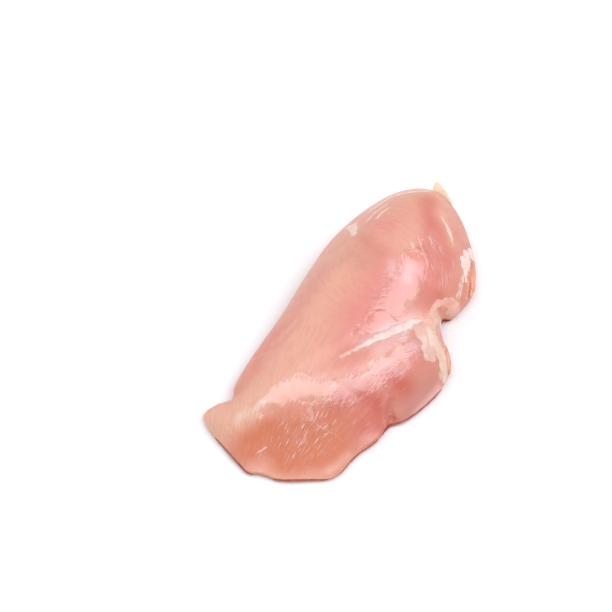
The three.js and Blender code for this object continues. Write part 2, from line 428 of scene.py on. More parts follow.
@dataclass(frozen=True)
class MuscleFinish:
    """Wet raw muscle: fine drawn-out fibres and cloudy pinks under a torn film of juice.

    A noise is given as its grains in a metre, for fibres along, across and through them. An ease
    holds the two levels of a noise between which a share rises, and the shares at both, or 0 and 1.
    """

    name: str = "raw_muscle"
    clouds: Place = (70, 70, 70)
    blotches: Place = (210, 210, 210)
    speckle: Place = (520, 520, 520)
    bundles: Place = (45, 330, 330)
    threads: Place = (150, 800, 800)
    strands: Place = (110, 1350, 1350)
    blotch_twist: float = 0.4
    film_torn_by_blotches: Ease = (0.3, 0.7, -0.16, 0.16)
    film_torn_by_strands: Ease = (0.3, 0.7, -0.24, 0.24)
    film_torn_by_speckle: Ease = (0.3, 0.7, -0.06, 0.06)
    film_edge: Ease = (0.34, 0.42)
    film_limit: Ease = (0.08, 0.22)
    glint_edge: Ease = (0.53, 0.64)
    pink_in_clouds: Ease = (0.42, 0.72, 0.0, 0.45)
    sallow_in_bundles: Ease = (0.5, 0.8, 0.0, 0.30)
    blush_in_blotches: Ease = (0.50, 0.72, 0.0, 0.22)
    tone_in_clouds: Ease = (0.3, 0.7, 0.68, 0.92)
    tone_in_bundles: Ease = (0.35, 0.65, 0.10, 0.30)
    tone_torn_by_speckle: Ease = (0.3, 0.7, -0.14, 0.14)
    crisp_tone_edge: Ease = (0.25, 0.62, 0.0, 0.92)
    pale_threads: Ease = (0.55, 0.8, 0.0, 0.32)
    deep_threads: Ease = (0.56, 0.36, 0.0, 0.22)
    # standing fibres laid pale: partly their own pale colour, partly a painted glint
    veil_on_glints: Ease = (0.0, 1.0, 0.0, 0.4)
    bare_flesh: Ease = (0.2, 0.6, 1.0, 0.15)
    swell_of_coarse: Ease = (0.0, 1.0, 0.35, 1.0)
    damp_roughness: Ease = (0.3, 0.7, 0.36, 0.50)
    dry_roughness: float = 0.65
    wet_roughness: float = 0.15
    glint_roughness: float = 0.20
    broad_fibre_mm: float = 0.22
    fine_fibre_mm: float = 0.08
    strand_mm: float = 0.14
    film_mm: float = 0.05
    pore_mm: float = 0.04
    film_of_water: float = 0.10
    water_roughness: float = 0.12
    refraction: float = 1.75
    glow_share: float = 0.25
    glow_colours: Place = (1.0, 0.35, 0.2)
    glow_depth_mm: float = 4.0

    def grain(self, wiring: Wiring, per_metre: Place, detail: float = 3.0) -> Socket:
        """Fibre noise that fans out from the tail and curls round the shoulder end.

        Args:
            wiring: the material being made.
            per_metre: grains in a metre along, across and through the fibres.
            detail: how many finer layers it has.

        Returns:
            The noise, around 0.5.
        """
        body, head = (wiring.noise(wiring.attribute(run.value, "Vector"), per_metre, detail=detail)
                      for run in (Grain.BODY, Grain.HEAD))
        return wiring.between(body, head, wiring.attribute(Grain.HEAD_SHARE.value))

    def noises(self, wiring: Wiring) -> Noises:
        """Makes the noises of the material being made.

        Args:
            wiring: the material.

        Returns:
            All six.
        """
        place = wiring.object_place()
        return Noises(wiring.noise(place, self.clouds, detail=4),
                      wiring.noise(place, self.blotches, twist=self.blotch_twist),
                      wiring.noise(place, self.speckle, detail=2),
                      self.grain(wiring, self.bundles), self.grain(wiring, self.threads),
                      self.grain(wiring, self.strands, detail=1.0))

    def film(self, wiring: Wiring, noises: Noises) -> Socket:
        """Where a smooth film of juice lies, with edges that the fibres tear.

        Args:
            wiring: the material being made.
            noises: its noises.

        Returns:
            1 on the film and 0 beside it.
        """
        wet = wiring.attribute(Grain.WET.value)
        torn = wiring.plus(wet, wiring.eased(noises.blotches, *self.film_torn_by_blotches))
        torn = wiring.plus(torn, wiring.eased(noises.strands, *self.film_torn_by_strands))
        torn = wiring.plus(torn, wiring.eased(noises.speckle, *self.film_torn_by_speckle))
        return wiring.times(wiring.eased(torn, *self.film_edge), wiring.eased(wet, *self.film_limit))

    def colour(self, wiring: Wiring, noises: Noises, glints: Socket) -> Socket:
        """Lays the painted tones, among them painted shade and painted highlights, and the fibres' own
        colours over cloudy pink.

        Args:
            wiring: the material being made.
            noises: its noises.
            glints: where single fibres stand up.

        Returns:
            The colour of the flesh.
        """
        colour = Tone.PEACH.albedo
        for tone, noise, ease in ((Tone.PINK, noises.clouds, self.pink_in_clouds),
                                  (Tone.SALLOW, noises.bundles, self.sallow_in_bundles),
                                  (Tone.BLUSH, noises.blotches, self.blush_in_blotches)):
            colour = wiring.laid_over(colour, tone.albedo, wiring.eased(noise, *ease))
        uneven = wiring.plus(wiring.eased(noises.clouds, *self.tone_in_clouds),
                             wiring.eased(noises.bundles, *self.tone_in_bundles))
        for tone in SOFT_TINTS:
            share = wiring.times(wiring.attribute(tone.layer), uneven)
            colour = wiring.laid_over(colour, tone.albedo, share)
        tearing = wiring.eased(noises.speckle, *self.tone_torn_by_speckle)
        for tone in CRISP_TINTS:
            torn = wiring.plus(wiring.attribute(tone.layer), tearing)
            colour = wiring.laid_over(colour, tone.albedo, wiring.eased(torn, *self.crisp_tone_edge))
        pale = wiring.times(wiring.eased(noises.threads, *self.pale_threads),
                            wiring.attribute(Grain.COARSE.value))
        colour = wiring.laid_over(colour, Tone.FILM.albedo, pale)
        deep = wiring.eased(noises.threads, *self.deep_threads)
        colour = wiring.laid_over(colour, Tone.MAUVE.albedo, deep)
        # standing fibres laid pale: partly their own pale colour, partly a painted glint
        return wiring.laid_over(colour, Tone.VEIL.albedo, wiring.eased(glints, *self.veil_on_glints))

    def material(self) -> bpy.types.Material:
        """Makes the material of the flesh.

        Returns:
            The material, which reads the tones and fibre runs painted on the flesh.
        """
        wiring = Wiring(self.name)
        noises = self.noises(wiring)
        film = self.film(wiring, noises)
        glints = wiring.times(wiring.attribute(Grain.RAISED.value),
                              wiring.eased(noises.strands, *self.glint_edge))
        damp = wiring.eased(noises.speckle, *self.damp_roughness)
        damp = wiring.between(damp, self.dry_roughness, wiring.attribute(Tone.ORANGE.layer))
        gloss = wiring.between(damp, self.glint_roughness, glints)
        bare = wiring.eased(wiring.attribute(Grain.WET.value), *self.bare_flesh)
        swells = wiring.times(noises.bundles, wiring.eased(wiring.attribute(Grain.COARSE.value),
                                                           *self.swell_of_coarse))
        relief = wiring.relief(((wiring.times(swells, bare), self.broad_fibre_mm),
                                (wiring.times(noises.threads, bare), self.fine_fibre_mm),
                                (glints, self.strand_mm), (film, self.film_mm),
                                (noises.speckle, self.pore_mm)))
        wiring.feed(wiring.shader, {
            "Base Color": self.colour(wiring, noises, glints), "Normal": relief,
            "Roughness": wiring.between(gloss, self.wet_roughness, film), "IOR": self.refraction,
            "Coat Weight": self.film_of_water, "Coat Roughness": self.water_roughness,
            "Subsurface Weight": self.glow_share, "Subsurface Radius": self.glow_colours,
            "Subsurface Scale": self.glow_depth_mm * MM})
        return wiring.material


@dataclass(frozen=True)
class ScrapFinish:
    """Fat, fascia, membrane, a loose sliver of muscle, or a dark strip of painted shade: one main colour,
    clouded by another.

    Noises and eases are given as in MuscleFinish.
    """

    name: str
    main: Tone
    cloud: Tone
    clouding: float = 0.5
    roughness: Span = (0.28, 0.5)
    pore_mm: float = 0.12
    clouds: Place = (260, 260, 260)
    streaks: Place = (140, 900, 700)
    pores: Place = (1400, 1400, 1400)
    streak_twist: float = 0.3
    colour_in_clouds: Span = (0.38, 0.68)
    gloss_in_pores: Span = (0.3, 0.7)
    streak_colour: Ease = (0.55, 0.8, 0.0, 0.35)
    streak_mm: float = 0.18
    film_of_water: float = 0.2
    water_roughness: float = 0.15
    glow_share: float = 0.2
    glow_colours: Place = (1.0, 0.5, 0.35)
    glow_depth_mm: float = 2.0

    def material(self) -> bpy.types.Material:
        """Makes the material.

        Returns:
            The material, made once and shared by the pieces that use this finish.
        """
        if self.name in bpy.data.materials:
            return bpy.data.materials[self.name]
        wiring = Wiring(self.name)
        place = wiring.object_place()
        clouds = wiring.noise(place, self.clouds, detail=4)
        streaks = wiring.noise(place, self.streaks, twist=self.streak_twist)
        pores = wiring.noise(place, self.pores, detail=2)
        colour = wiring.laid_over(self.main.albedo, self.cloud.albedo,
                                  wiring.eased(clouds, *self.colour_in_clouds, 0.0, self.clouding))
        colour = wiring.laid_over(colour, self.cloud.albedo, wiring.eased(streaks, *self.streak_colour))
        wiring.feed(wiring.shader, {
            "Base Color": colour,
            "Normal": wiring.relief(((streaks, self.streak_mm), (pores, self.pore_mm))),
            "Roughness": wiring.eased(pores, *self.gloss_in_pores, *self.roughness),
            "Coat Weight": self.film_of_water, "Coat Roughness": self.water_roughness,
            "Subsurface Weight": self.glow_share, "Subsurface Radius": self.glow_colours,
            "Subsurface Scale": self.glow_depth_mm * MM})
        return wiring.material


FAT = ScrapFinish("cream_fat", Tone.CREAM, Tone.FILM)
PALE_FAT = ScrapFinish("pale_fat", Tone.SILVER, Tone.CREAM, 0.6)
YELLOW_FAT = ScrapFinish("yellow_fat", Tone.YELLOW_FAT, Tone.CREAM, 0.6)
STRIP_FAT = ScrapFinish("tan_fat", Tone.CREAM, Tone.STRIP, 0.7)
JELLY = ScrapFinish("pink_jelly", Tone.JELLY, Tone.FOLD, 0.45, roughness=(0.12, 0.3))
FASCIA = ScrapFinish("pale_fascia", Tone.SILVER, Tone.FILM, 0.7)
PALE_FOLD = ScrapFinish("pale_fold", Tone.ROLL, Tone.PINK, 0.45, roughness=(0.2, 0.45), pore_mm=0.16)
SLIVER = ScrapFinish("orange_sliver", Tone.APRICOT, Tone.ORANGE, 0.7)
# tan threads, and also the pale strips of painted rim highlight
THREAD = ScrapFinish("tan_thread", Tone.FOLD, Tone.TAN, 0.6)
# dark strips of painted contact shade at the foot of the meat
FOOT = ScrapFinish("dark_foot", Tone.DARK, Tone.ROSE, 0.8)
# dark red strips of painted shade in the crevices
CREVICE = ScrapFinish("red_crevice", Tone.CREVICE, Tone.DARK, 0.3, roughness=(0.5, 0.7))


@dataclass(frozen=True)
class Relief:
    """A low ridge, or with a height below zero a groove, along a route."""

    name: str
    reach_mm: float
    height_mm: float
    route: Route


SEAM: Route = ((22, -28, 13), (15, -26, 20), (10, -22, 22), (5, -19, 23), (-9, -12, 24), (-22, -5, 25),
               (-27, -2, 24))
CRACK: Route = ((2, -4, 28), (4, -7, 28), (4, -10, 27), (4, -14, 24))
LOWER_EDGE: Route = ((-7, -44, 4), (-14, -42, 4), (-22, -41, 3), (-30, -37, 2))
CORNER_EDGE: Route = ((-43, -32, 2), (-52, -29, 3), (-62, -26, 3))
TAIL_EDGE: Route = ((-76, 42, 3), (-80, 34, 4), (-84, 25, 4), (-88, 17, 4), (-90, 10, 3))
FRONT_FACE: Route = ((-20, -30, 16), (-45, -14, 16), (-62, -4, 12), (-72, 6, 9))

# strips of painted shade: along the foot of the meat, and in the notch and the nick
FOOT_LINES: tuple[tuple[ScrapFinish, Route], ...] = (
    (FOOT, ((-83, 34, 0.8), (-88, 26, 0.8), (-92, 16, 0.8), (-93, 6, 0.8))),
    (FOOT, ((-91, -2, 0.8), (-87, -11, 0.8), (-82, -18, 0.8), (-76, -23, 0.8))),
    (FOOT, ((-39, -36, 0.8), (-33, -41, 0.8), (-23, -44, 0.8), (-14, -45, 0.8), (-6, -46, 0.8))),
    # painted shade in the notch's crevice
    (CREVICE, ((21.5, -30.5, 1.5), (23.5, -28.5, 2.5), (25.5, -27, 3.0), (28, -26, 3.0), (30.5, -26.5, 1.5),
               (33, -29, 0.8))),
    # painted shade in the front corner's nick
    (CREVICE, ((-35, -37, 0.8), (-38, -36, 0.8), (-42, -36, 0.8))),
    (FOOT, ((-70, -26.5, 0.8), (-62, -27.5, 0.8), (-54, -31, 0.8), (-46, -34.5, 0.8))),
)

RIM_STRANDS: tuple[Route, ...] = (
    ((53, 28.5, 25.5), (60, 27, 25), (66, 25, 25), (70, 23, 25)),
    ((49, 25, 29), (56, 24, 29), (61, 22, 29)),
    ((46, 21, 32), (53, 20.3, 31), (58, 19, 30)),
    ((44, 25.5, 30), (48, 25, 30), (52, 24.5, 29)),
)

SCARS: tuple[tuple[int, tuple[float, ...], Route], ...] = (
    (20, (0.5, 1.7, 0.6), ((48, -0.5, 31.5), (45.5, -3.5, 31), (43, -6, 30.5), (41, -8.5, 30))),
    (21, (0.5, 1.7, 0.6), ((46.5, -3, 31), (48.5, -4.5, 30))),
    (22, (0.5, 1.7, 0.6), ((52, -4.5, 29.5), (50.5, -6.5, 29), (48.5, -8.5, 28.5))),
    (23, (1.6, 3.0, 1.6), ((42.5, 0, 32), (41, -1.5, 32), (39, -3, 32))),
    (26, (0.3, 1.1, 0.3), ((39.5, -12, 27.5), (38.5, -14, 27), (37, -16, 26))),
    (27, (0.3, 1.0, 0.3), ((51, -11, 26.5), (49.5, -13, 26), (48, -15, 25))),
)

# The painted tones in the order in which they are laid: soft ones first, and crisp ones over them.
SOFT_TINTS: dict[Tone, tuple[Patch, ...]] = {
    Tone.TAN: (
        (16, 0.9, ((17, 21, 32), (-1, 19, 31), (-18, 20, 27))),
        (12, 0.8, ((-30, 14, 25), (-46, 18, 20))),
        (7, 0.7, ((66, 16, 30), (76, 10, 28), (82, 2, 24))),
    ),
    Tone.PINK: (
        (8, 0.8, ((44, 15, 34),)),
        (6, 0.5, ((-9, -17, 24), (-19, -12, 25), (-27, -6, 24))),
        (8, 0.6, ((10, 32, 28), (-10, 29, 24), (-28, 30, 19), (-45, 32, 15))),
    ),
    Tone.BLUSH: (
        (10, 0.9, ((22, 2, 32), (6, 2, 30), (-8, 2, 28), (-20, 0, 26))),
        (6, 0.3, ((-28, -6, 24), (-36, 2, 22))),
        (9, 1.0, ((60, -12, 24), (48, -18, 24), (36, -20, 23), (24, -22, 22))),
        (5, 0.8, ((52, -7, 28), (62, -8, 26))),
        (7, 0.8, ((8, -30, 19), (-4, -34, 17), (-10, -31, 20))),
        (6.0, 0.6, ((58, -3, 30), (66, 2, 30), (73, 5, 29))),
        (8, 0.8, ((26, -8, 30), (18, -8, 30), (6, -8, 27), (-6, -7, 26))),
        (7, 0.7, ((47, -8, 30), (39, -12, 29), (33, -16, 27))),
    ),
    Tone.SALLOW: (
        (9, 1.0, ((-66, 23, 14), (-72, 27, 11), (-76, 38, 6))),
        (5, 0.7, ((-84, 4, 5), (-86, -2, 4))),
    ),
    Tone.CORAL: (
        (7, 0.35, ((-28, 36, 17), (-40, 37, 11), (-50, 38, 9), (-58, 37, 7))),
        (10, 0.8, ((-48, -17, 11), (-52, -21, 8))),
        (6, 0.7, ((-33, -25, 13), (-38, -24, 11), (-43, -21, 11))),
        (10, 1.0, ((-44, -16, 13), (-50, -12, 13), (-56, -16, 9), (-66, -16, 6))),
    ),
    Tone.ROSE: (
        (5.0, 0.35, ((60, -2, 30), (66, 2, 30), (72, 5, 29))),
        (7, 1.0, ((-22, -28, 18), (-22, -33, 14))),
        (9, 1.0, ((-38, -19, 14), (-38, -24, 11), (-40, -29, 7))),
        (3.5, 0.35, ((42, -6, 31), (39, -9, 30))),
        (5, 0.25, ((44, -10, 29), (36, -15, 27))),
    ),
    Tone.ORANGE: (
        (5, 0.3, ((-44, 34, 15), (-50, 33, 16), (-57, 35, 12))),
        (11, 1.0, ((-58, -10, 11), (-63, -4, 10), (-68, 0, 9))),
        (8, 0.7, ((-72, 4, 9), (-77, 9, 7), (-82, 14, 5))),
        (7, 0.6, ((-70, 14, 11), (-76, 18, 9), (-80, 17, 7))),
        (4, 0.25, ((-55, 5, 17), (-60, 8, 15))),
        (6, 0.35, ((-42, -22, 11), (-46, -20, 11))),
        (7, 0.7, ((-60, -18, 6), (-66, -15, 6), (-72, -10, 6), (-79, -4, 5))),
        (5, 0.24, ((-66, -21, 3), (-71, -18, 3), (-77, -13, 3), (-83, -6, 3), (-86, 1, 3))),
        (2.6, 0.6, ((26, -25, 14), (29, -26.5, 10))),
    ),
    Tone.BROWN: (
        (4.5, 0.6, ((28, 8, 34), (29, 14, 35), (33, 20, 33))),
        (4, 0.8, ((24, -15, 26), (19, -17, 25), (13, -16, 26))),
    ),
    Tone.MAUVE: (
        (6, 0.5, ((21, 19, 33), (19, 13, 34))),
        (7, 0.9, ((-9, -40, 9), (-18, -40, 7), (-25, -38, 6))),
        (4, 0.9, ((-1, -27, 22), (-5, -27, 23), (-2, -30, 21))),
    ),
    Tone.VEIL: (
        # painted highlight along the front lobe's lower rim
        (2.8, 0.9, ((-24, -41, 3), (-15, -42.5, 4), (-9, -43.5, 5))),
        (4.5, 0.8, ((-3, -19, 24), (-7, -18, 24), (-11, -17, 25), (-16, -16, 25))),
        (3, 0.6, ((26, 1, 32), (22, -1, 32))),
        (3.5, 0.6, ((29, -7, 31), (24, -8.5, 30))),
        (3, 0.6, ((-14, -28, 21), (-18, -27, 20))),
        (3, 0.3, ((-35, -15, 18), (-39, -14, 17.5))),
        (3, 0.9, ((10, -21, 23), (5, -17.5, 24), (-2, -14, 25), (-9, -11, 25), (-16, -7, 25))),
        (3.5, 0.6, ((22, -26, 17), (15, -27, 19))),
        (0.9, 0.20, ((-30, -27.5, 14), (-34, -28, 10.5), (-37, -30, 7), (-39, -33, 3))),
    ),
    Tone.RIM: (
        # painted rim light along the back flank
        (5, 0.4, ((-30, 37, 15), (-38, 37, 13), (-46, 36, 13), (-54, 35, 12))),
    ),
    Tone.PALE_RIM: (
        (4, 0.4, ((69, -3, 27), (65, -9, 24.5), (60, -14, 22))),
        # painted highlight along the tail's bottom rims
        (2.4, 0.4, ((-71, -21.5, 3), (-66, -23.5, 3), (-61, -25, 3.5))),
        (3.2, 0.28, ((-90, 6, 3), (-89, 0, 2), (-87, -5, 2), (-82, -13, 2), (-78, -18, 2), (-74, -21, 2))),
        (3.2, 0.7, ((31, -26, 14), (34, -28.5, 11), (34, -30, 8), (32, -29, 5))),
        # painted highlight along the tail's left rim
        (4.0, 0.4, ((-76, 42, 3), (-80, 35, 4), (-83, 29, 4))),
        # painted highlight where the wet band runs out towards the tail
        (3.6, 0.7, ((-63, 19, 16), (-68, 22, 13), (-73, 25, 11))),
        # painted highlight along the shoulder's top rim
        (3.5, 0.6, ((60, 29, 22), (67, 27.5, 22), (73, 23.5, 23), (79, 18, 24), (83, 13, 23))),
    ),
}

CRISP_TINTS: dict[Tone, tuple[Patch, ...]] = {
    Tone.JELLY: (
        (2.2, 0.6, ((6, -25, 22), (3, -28, 22), (0, -32, 20), (-1, -35, 18))),
        (2.0, 0.5, ((20.5, -29, 14), (17, -30, 16), (13.5, -31.5, 16.5), (11, -34, 15), (9, -37, 12))),
    ),
    Tone.STRIP: (
        (2.6, 0.7, SEAM[:3]),
        (4.0, 0.8, ((10, -28, 21), (7, -32, 19), (5, -36, 16), (3.5, -39, 13), (1, -42, 10), (-2, -43, 8))),
        (3.0, 0.6, ((20, -25, 19), (14, -26, 20), (9, -27, 21))),
    ),
    Tone.FILM: (
        (2.4, 0.5, ((-3, -22, 24), (-9, -20, 24))),
        (3, 0.4, ((-43, 5, 22), (-40, 2, 22))),
        # painted highlight carrying the wet band on towards the tail
        (1.7, 0.7, ((-74, 25.5, 10), (-70, 24, 12), (-67, 21.5, 14.5), (-63, 19, 16))),
        (3.0, 0.5, ((7, -21, 22), (0, -20, 23))),
        (1.3, 0.7, SEAM[4:]),
        # painted highlight along the front lobe's lower rim
        (0.8, 0.42, tuple((x, y, z + 0.6) for x, y, z in LOWER_EDGE)),
    ),
    Tone.CREAM: (
        (2.2, 0.7, SEAM[2:5]),
        (3.0, 0.8, ((65, -21, 12), (60, -21.5, 14), (56, -23, 15))),
        (1.5, 0.55, ((52, -25, 14), (48, -26, 15), (45, -26, 15), (41, -28, 14), (38, -28, 13))),
        (1.6, 0.6, ((42, 33, 24), (38, 28, 28), (35, 27, 29))),
    ),
    Tone.SILVER: (
        (1.6, 0.7, ((5, -19, 23), (-1, -16, 24), (-9, -12, 24))),
        (1.3, 0.7, ((67, 26, 24.5), (71, 22, 25.5), (75, 17, 26.5), (78, 13, 26.5), (82, 10, 25))),
    ),
    Tone.DARK: (
        # painted shade in the nick at the front corner
        (1.0, 0.8, ((-36, -34, 3), (-38, -34.5, 1))),
        # painted shade along the crack
        (0.6, 0.42, CRACK),
        # painted shade in the notch under the shoulder flap
        (2.0, 0.9, ((22, -29, 4), (26, -28, 3), (30, -27, 1))),
        (2.0, 0.7, ((23, -28, 8), (27, -27.5, 6))),
        (1.6, 0.9, ((21, -29, 10), (24, -28, 8))),
        # painted shade between the fat pad and the slivers
        (0.9, 0.6, ((60, -25.5, 10.5), (55, -27.5, 10), (50, -29.7, 9), (45, -31.5, 7.5))),
        # a real dark speck on the tail
        (0.5, 0.8, ((-78.5, -12, 3),)),
    ),
}

WET_FILM: tuple[tuple[float, Route], ...] = (
    (6.5, ((34, -8, 31), (22, -9.5, 29))),
    (6.0, ((22, -9.5, 29), (14, -9, 28), (6, -8.5, 27), (-1, -8, 26))),
    (5.0, ((2, -8, 27), (-8, -6.5, 26), (-13, -5, 26))),
    (5.8, ((-8, -25, 23.5), (-12, -24.5, 23.5))),
    (3.4, ((-13, -26, 22), (-18, -26, 21))),
    (3.0, ((-36, -15, 17.5), (-39, -14, 17.5))),
    (5.4, ((-12, -24, 23.5), (-19, -23, 22), (-25, -20, 21))),
    (4.6, ((-25, -20, 21), (-32, -17, 19), (-38, -13, 18))),
    (5.4, ((-38, -12, 18), (-43, -6, 18.5), (-47, 0, 19), (-50, 6, 19))),
    (4.4, ((-47, 8, 20), (-53, 11, 19), (-60, 16, 17), (-66, 20, 15), (-71, 24, 12))),
    (1.4, ((-54, -1, 15), (-56, -3, 13), (-58, -2, 13))),
    (1.5, ((-78, 28, 9), (-80, 25, 8))),
)

RAISED_FIBRES: tuple[Patch, ...] = (
    (8, 1.0, ((-56, -9, 12), (-62, -6, 10), (-68, -5, 8))),
    (5, 1.0, ((-66, 4, 11), (-72, 2, 8))),
    (5, 1.0, ((-48, -8, 16), (-54, -4, 14))),
    (6, 1.0, ((50, -9, 28), (46, -14, 25), (44, -19, 22), (38, -20, 22))),
    (4, 1.0, ((-10, -28, 21), (-20, -26, 20), (-28, -21, 18))),
    (3, 1.0, ((24, -1, 32), (12, -2, 31), (2, -3, 29), (-8, -4, 27))),
)

COARSE_FIBRES: tuple[Patch, ...] = (
    (15, 1.0, ((-30, -26, 18), (-48, -12, 16), (-66, -4, 10), (-74, 4, 8))),
    (8, 0.9, ((8, -4, 29), (20, -2, 31))),
    (9, 0.9, ((44, -12, 28), (48, -20, 22))),
    (8, 0.8, ((-12, -22, 23), (-22, -18, 24))),
)

RELIEFS = (
    Relief("seam", 1.5, 0.3, SEAM),
    Relief("heel_step", 2.0, -0.5, ((-42, 37, 12), (-33, 29, 20), (-20, 25, 25))),
    Relief("corner_groove", 1.1, -0.8, ((-29.5, -30.5, 12), (-32.5, -31.5, 9), (-36, -33.5, 4))),
    Relief("corner_nick", 1.8, -1.5, ((-34.5, -33, 5.5), (-36.5, -34.5, 3), (-38, -36, 0.5))),
    Relief("notch_nick", 2.0, -1.3, ((22, -29, 7), (26, -28, 4.5), (29, -27, 2))),
    Relief("corner_ridge", 1.2, 0.25, ((-30, -27.5, 14), (-34, -28, 10.5), (-37, -30, 7), (-39, -33, 3))),
    Relief("tail_bevel", 1.6, -0.3, TAIL_EDGE),
    Relief("crack", 0.7, -0.5, CRACK),
)


@dataclass
class Flesh:
    """The fillet's muscle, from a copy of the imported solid.

    A span holds where something starts and where it is complete. Slopes are how far a face looks up,
    from 0 for a wall to 1 for level ground. Each wave is the width and the height of its bumps. The
    fibres fan out from a focus beyond the tail and curl round an eye in the shoulder, both seen from above.
    """

    name: str = "flesh"
    voxel_mm: float = 0.625
    softening: int = 6
    clear_of_table_mm: Span = (0.8, 4.0)
    front_reach_mm: float = 14.0
    waves_mm: tuple[tuple[float, float], ...] = ((22, 0.4), (7, 0.11))
    rope_size_mm: Place = (22, 3.2, 3.2)
    rope_turn: float = -12.0
    rope_height_mm: float = 0.18
    steep_slopes: Span = (0.25, 0.85)
    front_side_mm: Span = (-30, 10)
    back_side_mm: Span = (-10, 30)
    # painted shade on the steep front sides, and pink on the steep back sides that is partly their own
    # colour and partly painted shade
    front_coral: float = 0.75
    back_pink: float = 0.30
    # painted rim light on the steep back sides and on the walls a few millimetres up
    back_rim: float = 0.35
    rim_slopes: Span = (0.1, 0.6)
    rim_heights_mm: Span = (2, 7)
    rim_share: float = 0.5
    # painted shade on the steep sides just above the table
    foot_heights_mm: Span = (0.5, 1.9)
    foot_slopes: Span = (0.5, 0.9)
    foot_dark: float = 0.55
    tail_focus_mm: tuple[float, float] = (-150.0, 0.0)
    tail_reach_mm: float = 120.0
    head_eye_mm: tuple[float, float] = (22.0, 8.0)
    eye_radius_mm: float = 30.0
    fibre_rise: float = 0.3
    head_starts_mm: Span = (-24, -4)
    least_coarse: float = 0.25
    wetness: float = 1.2

    def build(self) -> bpy.types.Object:
        """Makes the flesh, with its relief, its tones and its fibre runs.

        Returns:
            The finished piece.
        """
        piece = self.copy_of_solid()
        self.refine(piece)
        self.mark_what_is_free(piece)
        self.wave(piece)
        for relief in RELIEFS:
            self.raise_along(piece, relief)
        apply_modifiers(piece)
        self.paint_tones(piece)
        self.run_fibres(piece)
        self.wet_film(piece)
        select_only(piece)
        bpy.ops.object.shade_smooth()
        hand_over(piece, MuscleFinish().material())
        return piece

    def copy_of_solid(self) -> bpy.types.Object:
        """Copies the solid and merges its loose triangles.

        Returns:
            The copy, one closed surface.
        """
        piece = bpy.data.objects.new(self.name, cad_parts[NODE].data.copy())
        bpy.context.collection.objects.link(piece)
        select_only(piece)
        bpy.ops.object.mode_set(mode="EDIT")
        bpy.ops.mesh.select_all(action="SELECT")
        bpy.ops.mesh.remove_doubles(threshold=MERGE_MM * MM)
        bpy.ops.object.mode_set(mode="OBJECT")
        return piece

    def refine(self, piece: bpy.types.Object) -> None:
        """Gives the copy small even faces and softens them.

        Args:
            piece: the copy.
        """
        melt(piece, self.voxel_mm)
        soften(piece, self.softening)
        apply_modifiers(piece)

    def corners(self, piece: bpy.types.Object) -> np.ndarray:
        """The mesh's vertices in millimetres, one a row.

        Args:
            piece: whose mesh it is.

        Returns:
            Three columns.
        """
        flat = np.empty(len(piece.data.vertices) * 3)
        piece.data.vertices.foreach_get("co", flat)
        return flat.reshape(-1, 3) / MM

    def facing(self, piece: bpy.types.Object) -> np.ndarray:
        """The vertices' outward directions, one a row.

        Args:
            piece: whose mesh it is.

        Returns:
            Three columns.
        """
        flat = np.empty(len(piece.data.vertices) * 3)
        piece.data.vertex_normals.foreach_get("vector", flat)
        return flat.reshape(-1, 3)

    def weigh(self, piece: bpy.types.Object, name: str, weights: np.ndarray) -> None:
        """Stores weights as a vertex group, in steps of a hundredth.

        Args:
            piece: the flesh.
            name: name of the group.
            weights: one for each vertex, from 0 to 1.
        """
        group = piece.vertex_groups.new(name=name)
        steps = np.round(weights * 100).astype(int)
        for step in np.unique(steps[steps > 0]):
            group.add(np.nonzero(steps == step)[0].tolist(), step / 100, "REPLACE")

    def mark_what_is_free(self, piece: bpy.types.Object) -> None:
        """Marks what lies clear of the table, and the front face where fibres stand out.

        Args:
            piece: the flesh.
        """
        points = self.corners(piece)
        free = smooth_step(points[:, 2], *self.clear_of_table_mm)
        self.weigh(piece, "free", free)
        front = closeness(points, FRONT_FACE, self.front_reach_mm)
        self.weigh(piece, "front", np.clip(front, 0, 1) * free)

    def wave(self, piece: bpy.types.Object) -> None:
        """Adds the slow unevenness of soft meat, and ropes of fibre on the front face.

        Args:
            piece: the flesh.
        """
        for size, depth in self.waves_mm:
            make_uneven(piece, size, depth, "free")
        bpy.ops.object.empty_add(rotation=(0, 0, math.radians(self.rope_turn)),
                                 scale=[size * MM for size in self.rope_size_mm])
        ropes = bpy.context.object
        make_uneven(piece, 1, self.rope_height_mm, "front", along=ropes)
        apply_modifiers(piece)
        bpy.data.objects.remove(ropes)

    def raise_along(self, piece: bpy.types.Object, relief: Relief) -> None:
        """Moves the surface out or in along one route.

        Args:
            piece: the flesh.
            relief: where it moves, how far and over what width.
        """
        weights = closeness(self.corners(piece), relief.route, relief.reach_mm)
        self.weigh(piece, relief.name, weights)
        modifier = piece.modifiers.new(relief.name, "DISPLACE")
        modifier.vertex_group = relief.name
        modifier.mid_level = 0.0
        modifier.strength = relief.height_mm * MM

    def store(self, piece: bpy.types.Object, name: str, values: np.ndarray) -> None:
        """Keeps one number, or one vector, for each vertex as an attribute.

        Args:
            piece: the flesh.
            name: name of the attribute.
            values: one row for each vertex.
        """
        vector = values.ndim == 2
        kind = "FLOAT_VECTOR" if vector else "FLOAT"
        layer = piece.data.attributes.new(name, kind, "POINT")
        layer.data.foreach_set("vector" if vector else "value", values.astype(np.float32).ravel())

    def paint_tones(self, piece: bpy.types.Object) -> None:
        """Paints every tint, painted shade on the steep sides and just above the table, and painted rim
        light on the steep back sides and the walls.

        Args:
            piece: the flesh.
        """
        points, up = self.corners(piece), self.facing(piece)[:, 2]
        across, height = points[:, 1], points[:, 2]
        shares = {tone: strewn(points, patches) for tone, patches in (SOFT_TINTS | CRISP_TINTS).items()}
        steep = 1 - smooth_step(up, *self.steep_slopes)
        back = smooth_step(across, *self.back_side_mm)
